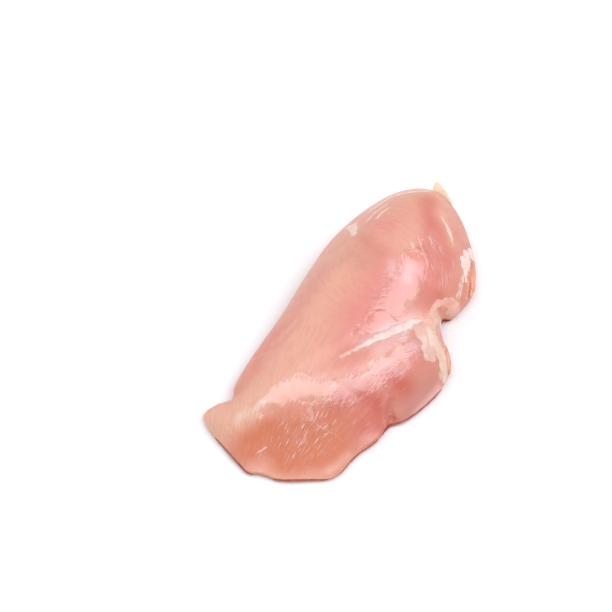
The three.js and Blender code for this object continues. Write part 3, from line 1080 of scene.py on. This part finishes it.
        # painted shade: deeper coral on the steep front sides; pink on the steep back sides, partly their
        # own colour and partly painted shade
        shares[Tone.CORAL] += self.front_coral * steep * smooth_step(-across, *self.front_side_mm)
        shares[Tone.PINK] += self.back_pink * steep * back
        # painted rim light on the steep back sides and on the walls a few millimetres up
        shares[Tone.RIM] += self.back_rim * steep * back
        rim = self.rim_share * (1 - smooth_step(up, *self.rim_slopes))
        shares[Tone.RIM] += rim * smooth_step(height, *self.rim_heights_mm)
        # painted shade on the steep sides just above the table
        foot = 1 - smooth_step(height, *self.foot_heights_mm)
        shares[Tone.DARK] += self.foot_dark * foot * (1 - smooth_step(np.abs(up), *self.foot_slopes))
        for tone, share in shares.items():
            self.store(piece, tone.layer, np.clip(share, 0, 1))

    def run_fibres(self, piece: bpy.types.Object) -> None:
        """Stores the run of the fibres, in metres along, across and up.

        Args:
            piece: the flesh.
        """
        points = self.corners(piece)
        rise = points[:, 2] * self.fibre_rise
        tail = points[:, :2] - np.array(self.tail_focus_mm)
        along = np.hypot(tail[:, 0], tail[:, 1])
        across = np.arctan2(tail[:, 1], tail[:, 0]) * self.tail_reach_mm
        self.store(piece, Grain.BODY.value, np.stack([along, across, rise], 1) * MM)
        eye = points[:, :2] - np.array(self.head_eye_mm)
        radius = np.hypot(eye[:, 0], eye[:, 1])
        turn = np.abs(np.arctan2(eye[:, 1], eye[:, 0])) * self.eye_radius_mm
        self.store(piece, Grain.HEAD.value, np.stack([turn, radius, rise], 1) * MM)
        self.store(piece, Grain.HEAD_SHARE.value, smooth_step(points[:, 0], *self.head_starts_mm))
        coarse = self.least_coarse + strewn(points, COARSE_FIBRES)
        self.store(piece, Grain.COARSE.value, np.clip(coarse, 0, 1))

    def wet_film(self, piece: bpy.types.Object) -> None:
        """Stores where a smooth film of juice lies, and where single fibres stand up and glint.

        Args:
            piece: the flesh.
        """
        points = self.corners(piece)
        wet = np.max([closeness(points, route, reach) for reach, route in WET_FILM], axis=0)
        self.store(piece, Grain.WET.value, np.clip(self.wetness * wet, 0, 1))
        self.store(piece, Grain.RAISED.value, np.clip(strewn(points, RAISED_FIBRES), 0, 1))


class Skin:
    """The outer surface of the finished flesh, on which the other pieces are laid."""

    def __init__(self, flesh: bpy.types.Object) -> None:
        """Reads the flesh.

        Args:
            flesh: the finished flesh.
        """
        mesh = flesh.data
        places = [corner.co for corner in mesh.vertices]
        self.tree = BVHTree.FromPolygons(places, [face.vertices for face in mesh.polygons])

    def foot(self, place: Vector) -> tuple[Vector, Vector]:
        """The nearest point of the surface to a place in metres, and the way out of it."""
        point, out, _, _ = self.tree.find_nearest(place)
        return point, out


@dataclass(frozen=True)
class Strip:
    """A soft strip that lies along the flesh: fat, fascia, membrane, a sliver of muscle, a pale strip of
    painted highlight, or a dark strip of painted shade.

    The widths are spread evenly along the route. A standing strip rises from the flesh on its edge:
    its middle and its reach, both ways from there, are shares of its width.
    """

    name: str
    finish: ScrapFinish
    route: Route
    widths_mm: tuple[float, ...]
    height_mm: float
    sunk_mm: float = 0.5
    uneven_mm: float = 0.35
    ragged: float = 0.12
    standing: bool = False
    seed: int = 1
    step_mm: float = 1.6
    around: int = 12
    pressed_in_mm: float = 0.12
    roundness: float = 1.6
    standing_middle: float = 0.4
    standing_reach: float = 0.5
    swell_levels: int = 2
    bump_mm: float = 1.8

    def width_at(self, share: float) -> float:
        """The strip's width, in metres.

        Args:
            share: how far along the strip, from 0 to 1.

        Returns:
            The width there.
        """
        spot = share * (len(self.widths_mm) - 1)
        low = min(int(spot), len(self.widths_mm) - 2)
        return MM * (self.widths_mm[low] + (self.widths_mm[low + 1] - self.widths_mm[low]) * (spot - low))

    def sections(self, skin: Skin) -> list[list[Vector]]:
        """Works out the cross-sections along the strip.

        Args:
            skin: what the strip lies on.

        Returns:
            One closed ring of points for each step of the route.
        """
        chance = random.Random(self.seed)
        line = rounded([Vector(place) * MM for place in self.route], self.step_mm * MM)
        line = [skin.foot(point)[0] for point in line]
        last = len(line) - 1
        widest = max(self.widths_mm) * MM
        rings = []
        for i, point in enumerate(line):
            way = (line[min(i + 1, last)] - line[max(i - 1, 0)]).normalized()
            out = skin.foot(point)[1]
            side = way.cross(out).normalized()
            width = self.width_at(i / last) * (1 + chance.uniform(-self.ragged, self.ragged))
            shift = side * width * chance.uniform(-self.ragged, self.ragged)
            height = self.height_mm * MM * min(1.0, math.sqrt(width / widest))
            ring = []
            for k in range(self.around):
                angle = math.tau * k / self.around
                up, aside = math.sin(angle), math.cos(angle)
                if self.standing:
                    level = self.standing_middle + self.standing_reach * aside
                    ring.append(point + out * level * width + side * up * height / 2)
                    continue
                foot, lift = skin.foot(point + shift + side * aside * width / 2)
                rise = up ** self.roundness * height if angle < math.pi else up * self.sunk_mm * MM
                ring.append(foot + lift * (rise - self.pressed_in_mm * MM))
            for spot in ring:
                spot.z = max(spot.z, TABLE_GAP_MM * MM)
            rings.append(ring)
        return rings

    def build(self, skin: Skin) -> bpy.types.Object:
        """Extrudes a ring along the route, then swells and roughens it.

        Args:
            skin: what the strip lies on.

        Returns:
            The finished piece.
        """
        rings = self.sections(skin)
        bpy.ops.object.select_all(action="DESELECT")
        bpy.ops.mesh.primitive_circle_add(vertices=self.around, radius=MM, fill_type="NGON")
        piece = bpy.context.object
        piece.name = piece.data.name = self.name
        for vertex, spot in zip(piece.data.vertices, rings[0]):
            vertex.co = spot
        bpy.ops.object.mode_set(mode="EDIT")
        bpy.ops.mesh.select_mode(type="FACE")
        bpy.ops.mesh.select_all(action="SELECT")
        for before, after in zip(rings, rings[1:]):
            bpy.ops.mesh.extrude_region_move()
            self.place_end(piece, before, after)
        bpy.ops.mesh.select_all(action="SELECT")
        bpy.ops.mesh.normals_make_consistent(inside=False)
        bpy.ops.object.mode_set(mode="OBJECT")
        swell = piece.modifiers.new("swell", "SUBSURF")
        swell.levels = swell.render_levels = self.swell_levels
        make_uneven(piece, self.bump_mm, self.uneven_mm)
        apply_modifiers(piece)
        bpy.ops.object.shade_smooth()
        hand_over(piece, self.finish.material())
        return piece

    def place_end(self, piece: bpy.types.Object, before: list[Vector], after: list[Vector]) -> None:
        """Moves the newly extruded end to the next cross-section.

        Args:
            piece: the strip, in edit mode.
            before: the cross-section on which the end still lies.
            after: the one to which it goes.
        """
        mesh = bmesh.from_edit_mesh(piece.data)
        for vertex in [v for v in mesh.verts if v.select]:
            nearest = min(range(self.around), key=lambda k: (before[k] - vertex.co).length_squared)
            vertex.co = after[nearest]
        bmesh.update_edit_mesh(piece.data)


@dataclass(frozen=True)
class Lumps:
    """Soft lumps of fat or jelly, melted into one another on the flesh."""

    name: str
    finish: ScrapFinish
    places: tuple[Place, ...]
    radii_mm: tuple[float, ...]
    flatness: float = 0.5
    sunk: float = 0.35
    voxel_mm: float = 0.3
    uneven_mm: float = 0.4
    softening: int = 12
    seed: int = 1
    ball_detail: int = 3
    stretches: Span = (0.8, 1.2)
    bump_mm: float = 1.6

    def build(self, skin: Skin) -> bpy.types.Object:
        """Sets a flattened ball at each place and melts them together.

        Args:
            skin: what the lumps lie on.

        Returns:
            The finished piece.
        """
        chance = random.Random(self.seed)
        bpy.ops.object.select_all(action="DESELECT")
        balls = []
        for place, radius in zip(self.places, self.radii_mm):
            foot, out = skin.foot(Vector(place) * MM)
            turn = out.to_track_quat("Z", "Y").to_euler()
            size = radius * MM
            foot -= out * size * self.flatness * self.sunk
            wide, long = (size * chance.uniform(*self.stretches) for _ in range(2))
            bpy.ops.mesh.primitive_ico_sphere_add(subdivisions=self.ball_detail, radius=1, location=foot,
                                                  rotation=turn, scale=(wide, long, size * self.flatness))
            balls.append(bpy.context.object)
        for ball in balls:
            ball.select_set(True)
        bpy.ops.object.join()
        piece = bpy.context.object
        piece.name = piece.data.name = self.name
        select_only(piece)
        bpy.ops.object.transform_apply(location=True, rotation=True, scale=True)
        melt(piece, self.voxel_mm)
        make_uneven(piece, self.bump_mm, self.uneven_mm)
        soften(piece, self.softening)
        apply_modifiers(piece)
        bpy.ops.object.shade_smooth()
        hand_over(piece, self.finish.material())
        return piece


@dataclass(frozen=True)
class Dressing:
    """Pieces that lie together on one part of the flesh."""

    pieces: tuple[Strip | Lumps, ...]

    def build(self, skin: Skin) -> None:
        """Lays the pieces on the flesh, in their order."""
        for piece in self.pieces:
            piece.build(skin)


@dataclass(frozen=True)
class ShoulderNotch(Dressing):
    """The notch in the front edge, where the seam cord, the fat strip and the corner fold meet."""

    pieces: tuple[Strip | Lumps, ...] = (
        Strip("seam_cord", FASCIA, SEAM[1:6], (0.6, 3.0, 5.2, 3.8, 2.6, 0.8), 0.5, uneven_mm=0.4,
              ragged=0.25),
        Strip("seam_root", PALE_FOLD, ((20, -26, 17.5), (15, -26, 20), (10, -23, 22), (5, -20, 23)),
              (4.0, 6.5, 5.5, 1.0), 0.35, uneven_mm=0.5, ragged=0.25, seed=2),
        Strip("fat_strip", STRIP_FAT, ((9, -27, 21), (6, -30, 20), (4, -34, 18), (3, -38, 14),
                                       (1, -41, 11), (-1, -43, 8), (-5, -44, 5)),
              (3.5, 6.5, 7.0, 6.5, 5.5, 4.6, 2.5), 1.0, seed=3),
        Strip("strip_sliver", SLIVER, ((11, -36, 12), (8, -38.5, 10), (5, -41, 8), (1, -43.3, 4.5)),
              (1.0, 3.2, 3.6, 1.2), 1.1, seed=4),
        Lumps("upper_jelly", JELLY, ((6, -24.5, 22), (3.5, -27, 22), (3, -29, 22), (1, -30.5, 21)),
              (3.0, 3.0, 2.8, 2.4), flatness=0.3, seed=5),
        Lumps("lower_jelly", JELLY, ((-1, -32, 20), (0, -34, 18), (-4, -34, 18), (-2, -36.5, 17),
                                     (2, -35, 18)),
              (2.6, 2.8, 2.2, 2.4, 2.8), flatness=0.32, seed=6),
        Strip("corner_roll", PALE_FOLD, ((14, -25, 21), (19, -24.5, 19.5), (24, -23.5, 18), (28, -24, 16),
                                         (32, -26, 14)),
              (1.5, 3.0, 3.4, 3.8, 2.5), 0.6, ragged=0.15, seed=7),
        Lumps("corner_lobe", PALE_FOLD, ((31, -25.5, 14.5), (33, -27.5, 12.5), (34.5, -29, 10),
                                         (33.5, -30, 7), (31, -28, 9)),
              (2.6, 3.6, 3.8, 3.0, 2.6), flatness=0.2, uneven_mm=0.3, seed=8),
        Strip("notch_wall", FASCIA, ((22, -28, 13), (19.5, -29, 13.5), (17, -31, 13), (14.5, -33, 12)),
              (0.8, 1.3, 1.1, 0.5), 0.5, uneven_mm=0.15, seed=8),
    )


@dataclass(frozen=True)
class FrontFlap(Dressing):
    """The ragged rim of the shoulder end: fat pad with orange slivers behind it."""

    pieces: tuple[Strip | Lumps, ...] = (
        Lumps("fat_pad", PALE_FAT, ((68, -20, 10), (63.5, -21, 13), (58, -22, 15.5), (61, -23, 12),
                                    (55, -23.5, 14.5), (57, -24.5, 12), (53, -25, 13), (50, -27, 12),
                                    (66.5, -22.5, 8.5)),
              (2.5, 3.4, 3.2, 3.4, 2.9, 3.0, 2.4, 1.8, 2.3), flatness=0.28, uneven_mm=0.7, seed=9),
        Strip("pad_tail", FASCIA, ((52, -25, 14), (48, -26.3, 14), (44.5, -27.5, 13.5), (41, -29, 12.5),
                                   (38, -30, 11.5)),
              (0.5, 1.3, 0.9, 1.2, 0.4), 0.3, uneven_mm=0.3, ragged=0.4, seed=10),
        Strip("inner_sliver", SLIVER, ((58, -25, 12), (54, -26.7, 11.5), (50, -28.7, 10.5),
                                       (46, -30.5, 9.5), (42, -31.5, 8)),
              (0.8, 2.2, 2.6, 2.2, 1.0), 0.9, seed=11),
        Strip("outer_sliver", SLIVER, ((64, -24, 9.5), (60, -26.3, 8.5), (55.5, -28.8, 8), (51, -31, 7),
                                       (46, -32.7, 6)),
              (1.0, 3.2, 4.4, 3.8, 1.4), 1.2, seed=12),
    )


@dataclass(frozen=True)
class ShoulderCap(Dressing):
    """The rounded shoulder end: fat tag, membrane strands, a rim membrane that is partly painted highlight,
    streaks and scars.
    """

    pieces: tuple[Strip | Lumps, ...] = (
        Strip("fat_tag", YELLOW_FAT, ((83, -3, 18), (86.5, 1, 17.3), (88.3, 5, 18.5), (88.4, 8.6, 20.2),
                                      (87.6, 10.8, 21.4)),
              (0.4, 1.2, 2.2, 4.4, 4.8), 0.5, standing=True, ragged=0.15, seed=13),
        # membrane, widened to stand also for a painted highlight along the rim
        Strip("rim_membrane", FASCIA, ((66, 26, 25), (71, 22, 25.5), (75, 17, 26.5), (78, 13, 26.5),
                                       (82, 10, 25)),
              (0.4, 1.8, 2.2, 1.8, 0.4), 0.3, uneven_mm=0.15, ragged=0.3, seed=14),
        *(Strip(f"strand_{number}", FASCIA, route, (0.3, 1.4, 1.2, 0.4), 0.3, uneven_mm=0.15, ragged=0.35,
                seed=15 + number) for number, route in enumerate(RIM_STRANDS)),
        Strip("pale_streak", FAT, ((68.5, -2.5, 27), (67, -6, 25.5), (64, -10, 23.5), (61, -13, 22),
                                   (59, -15.3, 21)),
              (0.4, 2.8, 4.0, 2.6, 0.4), 0.3, uneven_mm=0.2, ragged=0.2, seed=25),
        Lumps("fat_bit", FAT, ((42.5, 34, 23), (42, 31.5, 25.5), (40, 29.5, 27), (38, 28, 28),
                               (35.5, 26.5, 29), (44, 31, 26)),
              (2.2, 3.0, 2.8, 2.7, 2.4, 1.8), flatness=0.25, uneven_mm=0.6, seed=19),
        *(Strip(f"scar_{number}", PALE_FOLD, route, widths, 0.25, uneven_mm=0.2, ragged=0.35, seed=seed)
          for number, (seed, widths, route) in enumerate(SCARS)),
    )


@dataclass(frozen=True)
class TailTrim(Dressing):
    """Thin lines and specks of the front face and the tail, pale strips of painted highlight and dark
    strips of painted shade.
    """

    pieces: tuple[Strip | Lumps, ...] = (
        Strip("tan_thread", THREAD, ((-58, -3, 13), (-58, -6, 12), (-57.4, -11, 10), (-56.6, -16, 8),
                                     (-57, -21, 6)),
              (0.2, 0.6, 0.5, 0.4, 0.2), 0.25, uneven_mm=0.12, ragged=0.3, seed=30),
        # pale strips of painted highlight along the lower rims
        Strip("front_rim", THREAD, LOWER_EDGE, (0.4, 0.9, 0.8, 0.4), 0.3, uneven_mm=0.1, seed=31),
        Strip("corner_rim", THREAD, CORNER_EDGE, (0.3, 0.8, 0.3), 0.3, uneven_mm=0.1, seed=32),
        Strip("tail_speck", PALE_FOLD, ((-82, 11, 6), (-79.5, 9.5, 7), (-77, 8, 7)), (0.3, 1.3, 0.5), 0.3,
              ragged=0.35, seed=33),
        Strip("speck_thread", THREAD, ((-79, 9, 7), (-82, 9, 6), (-85, 8, 5)), (0.5, 0.4, 0.2), 0.25,
              ragged=0.3, seed=34),
        # dark strips of painted contact shade along the foot, and of painted shade in the crevices
        *(Strip(f"foot_line_{number}", finish, route, (0.5, 1.0, 1.2, 1.0, 0.5), 0.8, uneven_mm=0.3,
                ragged=0.2, seed=40 + number) for number, (finish, route) in enumerate(FOOT_LINES)),
    )


@dataclass(frozen=True)
class Softbox:
    """A soft light that shines on the fillet.

    Its direction is seen from the fillet, its long side lies along another, and its sides are in metres.
    """

    name: str
    towards: Place
    along: Place
    width: float
    length: float
    glow: float = 3.4
    distance: float = 1.2
    colour: Place = (0.85, 0.89, 1.0)

    def hang(self) -> None:
        """Hangs the light, with as much power as its size needs for its glow."""
        way = Vector(self.towards).normalized()
        across = Vector(self.along).cross(way).normalized()
        turn = Matrix((across, way.cross(across), way)).transposed()
        bpy.ops.object.light_add(type="AREA", location=way * self.distance, rotation=turn.to_euler())
        light = bpy.context.object
        light.name = self.name
        light.data.shape = "RECTANGLE"
        light.data.size = self.width
        light.data.size_y = self.length
        light.data.color = self.colour
        light.data.energy = self.glow * math.pi * self.width * self.length


@dataclass(frozen=True)
class Studio:
    """A white table, soft light from above and the camera."""

    camera_azimuth: float = -60.0
    camera_elevation: float = 52.0
    camera_distance: float = 0.9
    aim_mm: Place = (6.25, 36.03, 0.0)
    lens_mm: float = 110.0
    sensor_mm: float = 36.0
    table_size: float = 6.0
    table_white: Colour = (0.86, 0.85, 0.82, 1)
    table_cloud: Colour = (0.85, 0.84, 0.81, 1)
    clouds: Place = (30, 30, 30)
    table_roughness: float = 0.8
    sky: float = 0.62
    softboxes: tuple[Softbox, ...] = (
        Softbox("main_softbox", (0.41, -0.435, 0.80), (0.90, 0.43, 0.0), 0.62, 0.62),
        Softbox("front_softbox", (-0.16, -0.52, 0.84), (1.0, 0.10, 0.0), 0.40, 0.74),
        Softbox("side_softbox", (-0.17, -0.08, 0.98), (-0.25, 0.97, 0.0), 0.50, 0.90),
        Softbox("back_softbox", (0.0, 0.78, 0.63), (1.0, 0.0, 0.0), 1.0, 1.2, glow=0.9),
    )

    def build(self) -> None:
        """Sets up everything that isn't part of the fillet."""
        self.place_camera()
        self.lay_table()
        self.fill_sky()
        for softbox in self.softboxes:
            softbox.hang()
        bpy.context.scene.view_settings.view_transform = "Standard"

    def place_camera(self) -> None:
        """Puts the camera at the photograph's viewing angle."""
        turn, rise = math.radians(self.camera_azimuth), math.radians(self.camera_elevation)
        back = Vector((math.sin(turn) * math.cos(rise), -math.cos(turn) * math.cos(rise), math.sin(rise)))
        bpy.ops.object.camera_add(location=Vector(self.aim_mm) * MM + back * self.camera_distance,
                                  rotation=(-back).to_track_quat("-Z", "Y").to_euler())
        camera = bpy.context.object
        camera.data.lens = self.lens_mm
        camera.data.sensor_width = self.sensor_mm
        bpy.context.scene.camera = camera

    def lay_table(self) -> None:
        """Lays the pale table under the fillet."""
        bpy.ops.mesh.primitive_plane_add(size=self.table_size)
        table = bpy.context.object
        table.name = "table"
        wiring = Wiring("white_table")
        cloud = wiring.noise(wiring.object_place(), self.clouds)
        colour = wiring.laid_over(self.table_white, self.table_cloud, cloud)
        wiring.feed(wiring.shader, {"Base Color": colour, "Roughness": self.table_roughness})
        table.data.materials.append(wiring.material)

    def fill_sky(self) -> None:
        """Lights the scene evenly from all sides."""
        world = bpy.data.worlds.new("white_room")
        world.use_nodes = True
        sky = world.node_tree.nodes["Background"]
        sky.inputs["Color"].default_value = (1, 1, 1, 1)
        sky.inputs["Strength"].default_value = self.sky
        bpy.context.scene.world = world


def write_sizes() -> None:
    """Brings the placements of every object up to date."""
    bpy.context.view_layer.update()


def main() -> None:
    """Builds the studio and then the fillet, from the flesh outwards."""
    logging.basicConfig(level=logging.INFO, format="%(name)s %(message)s")
    Studio().build()
    skin = Skin(Flesh().build())
    for part in (ShoulderNotch(), FrontFlap(), ShoulderCap(), TailTrim()):
        log.info("dressing %s", type(part).__name__)
        part.build(skin)
    write_sizes()


if __name__ == "__main__":
    main()
